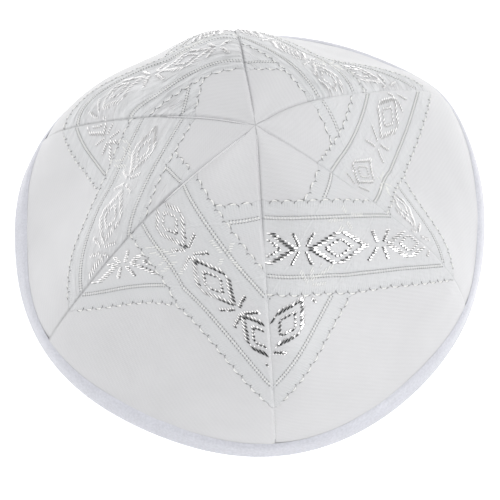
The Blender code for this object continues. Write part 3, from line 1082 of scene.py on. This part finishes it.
def make_binding(surface, material):
    """The rim's binding: a strip of tape bent round the rim and folded over its edge."""
    section = binding_section(surface.sizes)
    around, rows = 360, len(section) - 1
    clear_selection()
    bpy.ops.mesh.primitive_grid_add(x_subdivisions=around, y_subdivisions=rows, size=2)
    piece = fresh_object("tape_rim_binding")
    mesh = piece.data
    while mesh.uv_layers:
        mesh.uv_layers.remove(mesh.uv_layers[0])
    grid = vertex_array(mesh)
    turn = (1 - grid[:, 0]) / 2
    row = np.rint((1 - grid[:, 1]) / 2 * rows).astype(int)
    places = len(LINES) * (turn % 1.0)
    up, off = section[row, 0], section[row, 1]
    shares = 1 - np.maximum(up, 0) / surface.sizes.middle_length
    base = surface.points(places, shares)
    out = surface.normals(places, shares)
    made = base + out * off[:, None]
    made[:, 2] += np.minimum(up, 0)
    run = np.concatenate([[0], np.cumsum(np.linalg.norm(np.diff(section, axis=0), axis=1))])
    ring = surface.points(np.linspace(0, len(LINES), 721), np.ones(721))
    around_length = np.linalg.norm(np.diff(ring, axis=0), axis=1).sum()
    add_uv_layer(mesh, "pattern", np.stack([turn * around_length, run[row]], 1) * 1000)
    made[:, 2] = np.maximum(made[:, 2], 0.0)
    move_vertices(mesh, made)
    bpy.ops.object.mode_set(mode='EDIT')
    bpy.ops.mesh.select_all(action='SELECT')
    bpy.ops.mesh.remove_doubles(threshold=0.00001)
    bpy.ops.object.mode_set(mode='OBJECT')
    wall = piece.modifiers.new("Wall", 'SOLIDIFY')
    wall.thickness = 0.00015
    wall.offset = -1.0
    apply_modifiers(piece)
    bpy.ops.object.shade_smooth_by_angle(angle=math.radians(60))
    finish_piece(piece, material, ["rim_binding"])
    return piece, (run[-1], around_length)


# The operators

class KIPPAH_OT_panels(bpy.types.Operator):
    """Make the six satin panels"""
    bl_idname = "kippah.panels"
    bl_label = "Make Panels"

    def execute(self, context):
        scene = context.scene
        surface = CapSurface(scene.kippah_sizes)
        material = panel_material(scene.kippah_colours, scene.kippah_bands)
        for panel in range(len(PANELS)):
            piece, flat, area = make_panel(surface, scene.kippah_bands, panel, material)
        return {'FINISHED'}


class KIPPAH_OT_threads(bpy.types.Operator):
    """Lay the silver motifs, stitched rows and scalloped edges of the bands"""
    bl_idname = "kippah.threads"
    bl_label = "Lay Band Threads"

    def execute(self, context):
        scene = context.scene
        bands = scene.kippah_bands
        surface = CapSurface(scene.kippah_sizes)
        colours = scene.kippah_colours
        silver = silver_material(colours)
        grey = thread_material("rayon_edge_thread_twisted", colours.grey)
        dark = thread_material("rayon_row_thread_twisted", colours.dark)
        white = thread_material("rayon_white_thread_twisted", colours.white)
        # The grey threads in the floats' gaps are painted shadow.
        shadow = thread_material("rayon_painted_shadow_thread_twisted", colours.painted_shadow)
        short, bent, film = strand_shape(5, 6), strand_shape(9, 6), ribbon_shape(5)
        rng = np.random.default_rng(7)
        for panel, part in enumerate(PANELS):
            name = part.node.removeprefix("panel_")
            floats, rows, scallops, whites, painted_shadow = [], [], [], [], []
            for side in (TOP, UNDER):
                motifs = motif_strands(panel, side, bands, rng)
                seen = visible(surface, panel, side, bands, motifs)
                # Each kind: the piece it joins, its strands, its shape and its lift in metres.
                laid = [(floats, seen, film, 0.00010),
                        (painted_shadow, painted_shadow_strands(seen, bands), short, 0.00003),
                        (rows, row_strands(surface, panel, side, bands), short, 0.00004),
                        (scallops, scallop_strands(surface, panel, side, bands), bent, 0.00006),
                        (whites, bead_strands(surface, panel, side, bands), bent, 0.00006),
                        (whites, hatch_strands(surface, panel, side, bands), short, 0.00004)]
                if side == UNDER:
                    through = visible(surface, panel, side, bands, motifs, hidden=True)
                    laid.append((whites, through, short, 0.00002))
                for parts, strands, shape, lift in laid:
                    if len(strands):
                        parts.append(lay_strands(
                            surface, panel, side, bands.tilt, shape, strands, lift))
            strands_piece("silver_motifs_" + name, floats, silver, rounded=False)
            strands_piece("stitched_rows_" + name, rows, dark)
            strands_piece("scalloped_edges_" + name, scallops, grey)
            strands_piece("white_threads_" + name, whites, white)
            # Painted shadow threads in the gaps between the silver floats.
            strands_piece("painted_shadow_threads_" + name, painted_shadow, shadow)
        return {'FINISHED'}


class KIPPAH_OT_binding(bpy.types.Operator):
    """Bind the rim with satin tape"""
    bl_idname = "kippah.binding"
    bl_label = "Bind Rim"

    def execute(self, context):
        scene = context.scene
        surface = CapSurface(scene.kippah_sizes)
        piece, flat = make_binding(surface, binding_material(scene.kippah_colours))
        return {'FINISHED'}


class KIPPAH_OT_stage(bpy.types.Operator):
    """Set the pale floor, the soft lights and the camera at the cap's front"""
    bl_idname = "kippah.stage"
    bl_label = "Set Stage"

    def execute(self, context):
        scene = context.scene
        clear_selection()
        bpy.ops.mesh.primitive_plane_add(size=4)
        floor = fresh_object("floor")
        # Matt and lit from within, so that it stays near white round the cap.
        material, _, shader = new_material("white_acrylic_sheet_lit")
        shader.inputs["Base Color"].default_value = (*linear("#f4f4f4"), 1)
        shader.inputs["Roughness"].default_value = 0.9
        shader.inputs["Specular IOR Level"].default_value = 0.0
        shader.inputs["Emission Color"].default_value = (1, 1, 1, 1)
        shader.inputs["Emission Strength"].default_value = 0.5
        floor.data.materials.append(material)

        # Each lamp's place and size in metres, and its watts. All aim at the cap.
        lamps = (
            ("overhead softbox", (0.02, 0.00, 1.20), 1.0, 3.0),
            ("right front softbox", (0.86, -0.73, 0.41), 0.5, 3.5),
            ("right back softbox", (0.71, 0.50, 0.83), 0.25, 0.6),
            ("left back softbox", (-0.80, 0.46, 0.77), 0.8, 0.3),
            ("left front softbox", (-0.59, -0.70, 0.77), 1.0, 1.0),
        )
        for name, place, size, power in lamps:
            light = bpy.data.lights.new(name, 'AREA')
            light.shape = 'SQUARE'
            light.size = size
            light.energy = power
            lamp = bpy.data.objects.new(name, light)
            scene.collection.objects.link(lamp)
            lamp.location = place
            aim = np.array([0, 0, 0.03]) - np.array(place)
            lamp.rotation_euler = (math.atan2(math.hypot(aim[0], aim[1]), -aim[2]), 0,
                                   math.atan2(-aim[0], aim[1]))
        scene.world = studio_world()
        scene.view_settings.view_transform = 'Standard'

        camera = bpy.data.cameras.new("camera")
        camera.lens = 96.55
        camera.sensor_width = 36.0
        viewer = bpy.data.objects.new("camera", camera)
        scene.collection.objects.link(viewer)
        viewer.location = (0.0, -0.1885, 0.4024)
        viewer.rotation_euler = (math.radians(90 - 65.57), 0, 0)
        scene.camera = viewer
        return {'FINISHED'}


class KIPPAH_PT_sidebar(bpy.types.Panel):
    """Lists the steps and sizes of the kippah"""
    bl_idname = "KIPPAH_PT_sidebar"
    bl_label = "Kippah Skullcap"
    bl_space_type = 'VIEW_3D'
    bl_region_type = 'UI'
    bl_category = "Kippah"

    def draw(self, context):
        for group in (context.scene.kippah_sizes, context.scene.kippah_bands,
                      context.scene.kippah_colours):
            box = self.layout.box()
            for name in group.__annotations__:
                box.prop(group, name)
        for operator in OPERATORS:
            self.layout.operator(operator.bl_idname)


GROUPS = {"kippah_sizes": KippahSizes, "kippah_bands": BandSizes,
          "kippah_colours": KippahColours}
OPERATORS = (KIPPAH_OT_panels, KIPPAH_OT_threads, KIPPAH_OT_binding, KIPPAH_OT_stage)


def register():
    for made in (*GROUPS.values(), *OPERATORS, KIPPAH_PT_sidebar):
        bpy.utils.register_class(made)
    for name, group in GROUPS.items():
        setattr(bpy.types.Scene, name, bpy.props.PointerProperty(type=group))


def unregister():
    for name in GROUPS:
        delattr(bpy.types.Scene, name)
    for made in reversed((*GROUPS.values(), *OPERATORS, KIPPAH_PT_sidebar)):
        bpy.utils.unregister_class(made)


def main():
    """Make the cap and its stage."""
    register()
    bpy.ops.kippah.panels()
    bpy.ops.kippah.threads()
    bpy.ops.kippah.binding()
    bpy.ops.kippah.stage()


if __name__ == "__main__":
    main()
